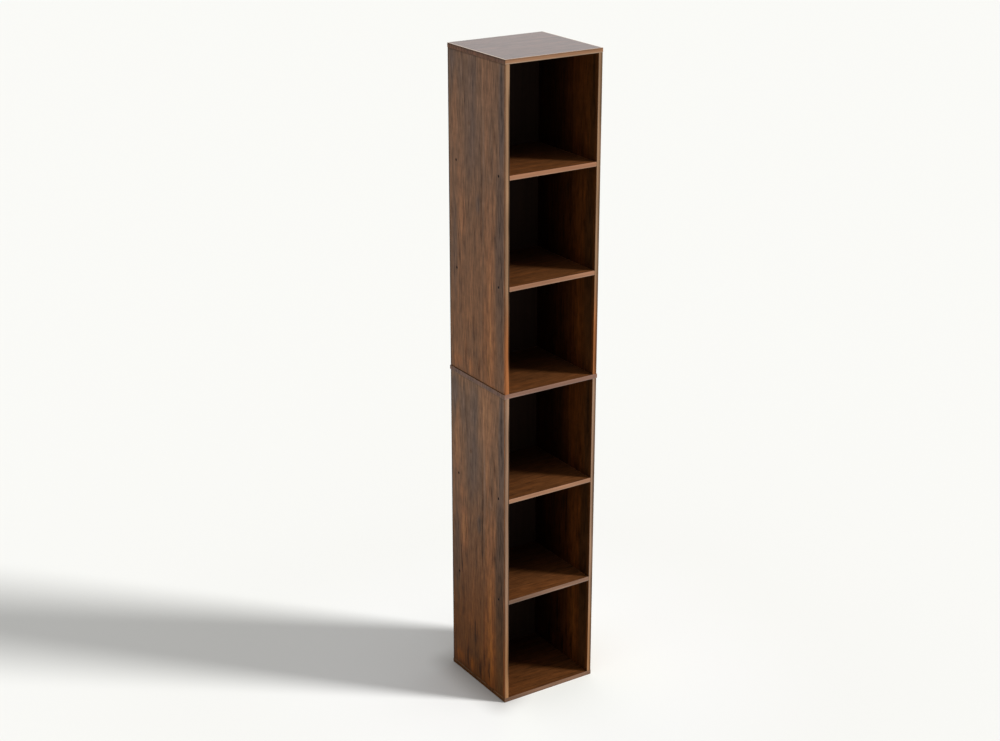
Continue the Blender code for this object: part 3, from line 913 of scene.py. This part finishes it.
def finish_back(name, box):
    material, n = new_material(name)
    x, y, z = n.parts(n.place())
    outside = n.maths("GREATER_THAN", y, (box[0].y + box[1].y) / 2)

    def layer(across, up, apart, *rest):
        return n.noise(n.vector(n.times(x, across), n.times(z, up), apart), *rest)

    inner = n.mix(layer(*PRINT_GRAIN), *DARK_PRINT_AND_PAINTED_SHADE)
    specks = n.times(n.plus(layer(*SPECKS), -0.5), SPECK_SHARE)
    outer = n.mix(n.plus(n.rise(layer(*CLOUDS), *CLOUD_EDGE), specks), *HARDBOARD)
    threads = [n.maths("SINE", n.times(distance, tau / SCREEN_PITCH)) for distance in (x, z)]
    weave = n.times(*threads)
    marked = n.mix(SCREEN_STRENGTH, outer, SCREEN_MARK)
    outer = n.mix(n.rise(weave, *SCREEN_EDGE), outer, marked)
    shade = n.mix(outside, inner, outer)
    bump = n.bump(n.times(outside, weave), *SCREEN_BUMP)
    rough = n.plus(BACK_ROUGHNESS, n.times(outside, ROUGHER_OUTSIDE))
    set_shader(material, Base_Color=shade, Roughness=rough, Specular_IOR_Level=BACK_GLOSS, Normal=bump)
    return material


BACKS = ["lower_back_panel", "upper_back_panel"]
dress(BACKS, finish_back("hardboard_back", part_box(BACKS[0])))
print("backs dressed:", len(BACKS))

# %% [markdown]
# ## Metal and beech
#
# The fittings are small, but each has its own finish: black screws, dull bronzed cam locks, bright
# plated bolts and bare beech dowels. One flat colour each would look like plastic, so a fine noise
# moves every finish between a dark and a light shade of itself, and makes it rougher where it is
# worn.
#
# The black finish isn't made as bare metal. It is a dull coating, and a metal shader would mirror
# the pale floor in every screw head.

# %% Finishes of the fittings
BLACK_SHADES = (colour(0.008, 0.004, 0.003), colour(0.020, 0.011, 0.008))
BRONZE_SHADES = (colour(0.060, 0.038, 0.027), colour(0.13, 0.085, 0.06))
PLATE_SHADES = (colour(0.45, 0.45, 0.42), colour(0.62, 0.62, 0.60))
BEECH_SHADES = (colour(0.62, 0.43, 0.26), colour(0.40, 0.24, 0.13))
WORN_METAL = (0.35, 0.70)  # noise levels of the darkest and the lightest places
METAL_NOISE = (4, 0.6)  # detail and roughness
METAL_BUMP = (0.2, 0.00005)  # strength and depth
ROUGHNESS_SPREAD = 0.16
FLECKS_PER_METRE = (1800, 1800, 120)
FLECKED_BEECH = (0.35, 0.75)
BEECH_BUMP = (0.3, 0.0001)
BEECH_ROUGHNESS = 0.7


def finish_metal(name, dark, light, roughness, patches_per_metre, metallic=1.0, gloss=0.5):
    material, n = new_material(name)
    wear = n.noise(n.scaled(n.place(), patches_per_metre), *METAL_NOISE)
    shade = n.mix(n.rise(wear, *WORN_METAL), dark, light)
    rough = n.plus(roughness - ROUGHNESS_SPREAD / 2, n.times(wear, ROUGHNESS_SPREAD))
    bump = n.bump(wear, *METAL_BUMP)
    set_shader(material, Base_Color=shade, Roughness=rough, Normal=bump)
    set_shader(material, Metallic=metallic, Specular_IOR_Level=gloss)
    return material


def finish_beech(name):
    material, n = new_material(name)
    parts = [n.times(part, rate) for part, rate in zip(n.parts(n.place()), FLECKS_PER_METRE)]
    fleck = n.noise(n.vector(*parts), 3)
    shade = n.mix(n.rise(fleck, *FLECKED_BEECH), *BEECH_SHADES)
    bump = n.bump(fleck, *BEECH_BUMP)
    set_shader(material, Base_Color=shade, Roughness=BEECH_ROUGHNESS, Normal=bump)
    return material


BLACK_STEEL = finish_metal(
    "black_steel", *BLACK_SHADES, roughness=0.5, patches_per_metre=900, metallic=0.0, gloss=0.08
)
BRONZED_ZINC = finish_metal("bronzed_zinc", *BRONZE_SHADES, roughness=0.55, patches_per_metre=700)
ZINC_PLATE = finish_metal("zinc_plate", *PLATE_SHADES, roughness=0.35, patches_per_metre=800)
BEECH = finish_beech("beech_dowel")
SCREWS = [name for name in NODES if "_screw_" in name]
CAMS = [name for name in NODES if "_cam_" in name]
dress(CAMS, BRONZED_ZINC)
dress([name for name in NODES if "_bolt_" in name], ZINC_PLATE)
dress([name for name in NODES if "_dowel_" in name], BEECH)
print(len(SCREWS), "screws and", len(CAMS), "cams")

# %% [markdown]
# ## Skin over rings
#
# A screw, a nail and a cap are all turned shapes. Blender could spin a profile, but a screw isn't
# quite round all the way: its socket is a hexagon and its thread climbs. So each is described as a
# stack of rings from one end to the other, every ring with the same number of points, and a skin is
# laid from ring to ring.

# %% Rings and skin
RING_POINTS = 48
ANGLES = [tau * k / RING_POINTS for k in range(RING_POINTS)]


def circle(radius, height):
    return [(radius * cos(angle), radius * sin(angle), height) for angle in ANGLES]


def hexagon(across_flats, height):
    """A hexagon with as many points as a circle, spread along its sides."""
    points = []
    for angle in ANGLES:
        from_flat = (angle + pi / 6) % (pi / 3) - pi / 6
        radius = across_flats / 2 / cos(from_flat)
        points.append((radius * cos(angle), radius * sin(angle), height))
    return points


def lay_skin(shape, rings, move=Matrix()):
    """Adds one closed skin over the rings to a bmesh, its two ends closed with flat faces."""
    rows = [[shape.verts.new(move @ Vector(point)) for point in ring] for ring in rings]
    for row, following in zip(rows, rows[1:]):
        for k in range(len(row)):
            shape.faces.new((row[k - 1], row[k], following[k], following[k - 1]))
    shape.faces.new(rows[0])
    shape.faces.new(rows[-1][::-1])


def finished_mesh(name, shape, material, crease=radians(35)):
    """A mesh from the bmesh, its round parts shaded smooth."""
    bmesh.ops.recalc_face_normals(shape, faces=shape.faces)
    mesh = bpy.data.meshes.new(name)
    shape.to_mesh(mesh)
    shape.free()
    mesh.shade_smooth()
    mesh.set_sharp_from_angle(angle=crease)
    mesh.materials.append(material)
    return mesh


def set_piece(name, mesh, place=Matrix()):
    """Puts a piece in the scene, riding with the case."""
    made = bpy.data.objects.new(name, mesh)
    made.matrix_world = place
    bpy.context.scene.collection.objects.link(made)
    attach(made, "root")
    return made


def facing(point, direction):
    """A place whose own Z axis points this way."""
    return Matrix.Translation(point) @ direction.to_track_quat("Z", "Y").to_matrix().to_4x4()


print("rings of", RING_POINTS, "points")

# %% [markdown]
# ## Screws
#
# The shelves hang on black housing screws with a flat countersunk head and a hexagon socket, two
# through each side at each shelf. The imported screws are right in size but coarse, with 16 sides and
# a plain shank. Each is replaced by a finer one of the same size: a round head with a broken rim, a
# socket with a drilled floor, and a shank with a real thread. The thread is made by moving each
# ring's points in and out as the helix passes.

# %% Screw mesh
HEAD_RADIUS = 0.00375
HEAD_RIM = 0.0005
BROKEN_RIM = 0.0002
SOCKET_FLATS = 0.003
SOCKET_DEPTH = 0.002
SOCKET_BREAK = 0.0002  # the socket's broken edge
DRILL_POINT = 0.0004  # radius in the middle of the socket's floor
DRILL_DEPTH = 0.0005  # below that floor
SHANK_RADIUS = 0.0025
CORE_RADIUS = 0.0017
POINT_RADIUS = 0.001
POINT_LENGTH = 0.003
POINT_SHARE = 0.75  # of the thread that is left half way down the point
SCREW_LENGTH = 0.0397  # from the head's face to the point
THREAD_PITCH = 0.0022
RIDGE_SHARE = 0.28  # half of a ridge's width at its foot, as a share of the pitch
PLAIN_SHANK = 0.008
THREAD_START = 0.0003  # from the shank down to the thread's core
RINGS_PER_TURN = 6


def thread_ring(height, reach):
    """A ring of the thread. Its ridge comes out where the helix is at this height."""
    points = []
    for angle in ANGLES:
        turn = (height / THREAD_PITCH + angle / tau) % 1
        ridge = max(0.0, 1 - abs(turn - 0.5) / RIDGE_SHARE)
        radius = CORE_RADIUS + (SHANK_RADIUS - CORE_RADIUS) * ridge
        points.append((radius * reach * cos(angle), radius * reach * sin(angle), height))
    return points


def screw_rings():
    cone_end = HEAD_RADIUS - SHANK_RADIUS + HEAD_RIM
    thread_start = -cone_end - PLAIN_SHANK
    thread_end = POINT_LENGTH - SCREW_LENGTH
    rings = [
        circle(DRILL_POINT, -SOCKET_DEPTH - DRILL_DEPTH),
        hexagon(SOCKET_FLATS, -SOCKET_DEPTH),
        hexagon(SOCKET_FLATS, -SOCKET_BREAK),
        hexagon(SOCKET_FLATS + 2 * SOCKET_BREAK, 0.0),
        circle(HEAD_RADIUS - BROKEN_RIM, 0.0),
        circle(HEAD_RADIUS, -BROKEN_RIM),
        circle(HEAD_RADIUS, -HEAD_RIM),
        circle(SHANK_RADIUS, -cone_end),
        circle(SHANK_RADIUS, thread_start),
        circle(CORE_RADIUS, thread_start - THREAD_START),
    ]
    step = THREAD_PITCH / RINGS_PER_TURN
    count = int((thread_start - thread_end) / step)
    for k in range(2, count):
        rings.append(thread_ring(thread_start - k * step, 1.0))
    rings.append(thread_ring(thread_end, 1.0))
    rings.append(thread_ring(thread_end - POINT_LENGTH / 2, POINT_SHARE))
    rings.append(circle(POINT_RADIUS / 2, -SCREW_LENGTH))
    return rings


screw_shape = bmesh.new()
lay_skin(screw_shape, screw_rings())
SCREW_MESH = finished_mesh("housing_screw", screw_shape, BLACK_STEEL)
print("screw mesh:", len(SCREW_MESH.polygons), "faces")

# %% [markdown]
# ## The screws in their places
#
# The screw is made once, head up, round its own Z axis, and each packed screw is replaced by a copy
# of it. The places could be written out, but they would be wrong as soon as a size changed. So each
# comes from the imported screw's box: its long side is the axis, and its head is at the end that lies
# farther out.

# %% Screws in place
for name in SCREWS:
    low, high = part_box(name)
    middle, reach = (low + high) / 2, (high - low) / 2
    if reach.x > reach.z:
        outward = Vector((1, 0, 0)) if middle.x > 0 else Vector((-1, 0, 0))
        face = middle + outward * reach.x
    else:
        outward = Vector((0, 0, -1))
        face = middle + outward * reach.z
    screw = set_piece("fine_" + name, SCREW_MESH, facing(face, outward))
    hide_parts(name)
print("screws placed:", len(SCREWS))

# %% [markdown]
# ## Cover caps
#
# Inside the case, a cam lock turns in each side close to its ends. On a made-up bookcase of this
# kind they are hidden: a thin round cap in the same foil is stuck over each. A plain cylinder would
# show a hard rim. The cap is a turned disc with a soft one, and it takes the side's own material,
# so its grain runs on from the board around it.

# %% Cover caps
CAP_RADIUS = 0.0078
CAP_THICKNESS = 0.0004
INNER_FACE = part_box("lower_right_side")[0].x
RIM_SHARES = ((0, 0), (0, 0.4), (0.35, 0.8), (1, 1))  # how far in and up, in thicknesses
CAP_RINGS = []
for inward, up in RIM_SHARES:
    CAP_RINGS.append(circle(CAP_RADIUS - inward * CAP_THICKNESS, up * CAP_THICKNESS))
for part in (2, 8):
    CAP_RINGS.append(circle(CAP_RADIUS / part, CAP_THICKNESS))

for name in CAMS:
    middle = sum(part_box(name), Vector()) / 2
    sign = 1 if middle.x > 0 else -1
    side = "lower" if "middle_lower" in name else "upper"
    cap_shape = bmesh.new()
    move = facing(Vector((sign * INNER_FACE, middle.y, middle.z)), Vector((-sign, 0, 0)))
    lay_skin(cap_shape, CAP_RINGS, move)
    side_finish = NODES[f"{side}_left_side"].data.materials[0]
    set_piece("cap_over_" + name, finished_mesh("cap", cap_shape, side_finish))
print("caps:", len(CAMS), "of", 2 * CAP_RADIUS * MM_IN_M, "mm")

# %% [markdown]
# ## Nails in the back
#
# The back panels are held with small panel nails, driven through the hardboard into the sides and
# the shelves. They are too small to be solids of the model, but the back would look unfinished
# without them. All the nails of one panel are one piece. Their heads lie in the shallow recess
# behind the case, below its rear edges, so the case still stands flat against a wall.

# %% Back nails
NAIL_HEAD = 0.0016
NAIL_HEAD_THICKNESS = 0.00045
NAIL_SHANK = 0.0007
NAIL_LENGTH = 0.016
NAIL_POINT = 0.002
NAIL_TIP = 0.0001
NAILS_UP_A_SIDE = 6
NAIL_FROM_END = 0.030
NAIL_IN_SIDE = INNER_FACE + 0.003
NAILS_ALONG_SHELF = (-0.07, 0.0, 0.07)
HEAD_SHARES = ((1, 0), (1, 0.4), (0.8, 0.85), (0.4, 1))  # of its radius and of its thickness
NAIL_RINGS = [
    circle(NAIL_TIP, -NAIL_LENGTH),
    circle(NAIL_SHANK, -NAIL_LENGTH + NAIL_POINT),
    circle(NAIL_SHANK, 0.0),
]
for out, up in HEAD_SHARES:
    NAIL_RINGS.append(circle(out * NAIL_HEAD, up * NAIL_HEAD_THICKNESS))


def nail_places(half):
    low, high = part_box(f"{half}_back_panel")
    step = (high.z - low.z - 2 * NAIL_FROM_END) / (NAILS_UP_A_SIDE - 1)
    places = []
    for sign in (-1, 1):
        for k in range(NAILS_UP_A_SIDE):
            places.append((sign * NAIL_IN_SIDE, low.z + NAIL_FROM_END + k * step))
    for number in (1, 2):
        shelf_low, shelf_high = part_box(f"{half}_shelf_{number}")
        for across in NAILS_ALONG_SHELF:
            places.append((across, (shelf_low.z + shelf_high.z) / 2))
    return [Vector((x, high.y, z)) for x, z in places]


for half in ("lower", "upper"):
    nails_shape = bmesh.new()
    for point in nail_places(half):
        lay_skin(nails_shape, NAIL_RINGS, facing(point, Vector((0, 1, 0))))
    set_piece(f"{half}_back_nails", finished_mesh("nails", nails_shape, BLACK_STEEL))
print("nails:", 2 * len(nail_places("lower")))
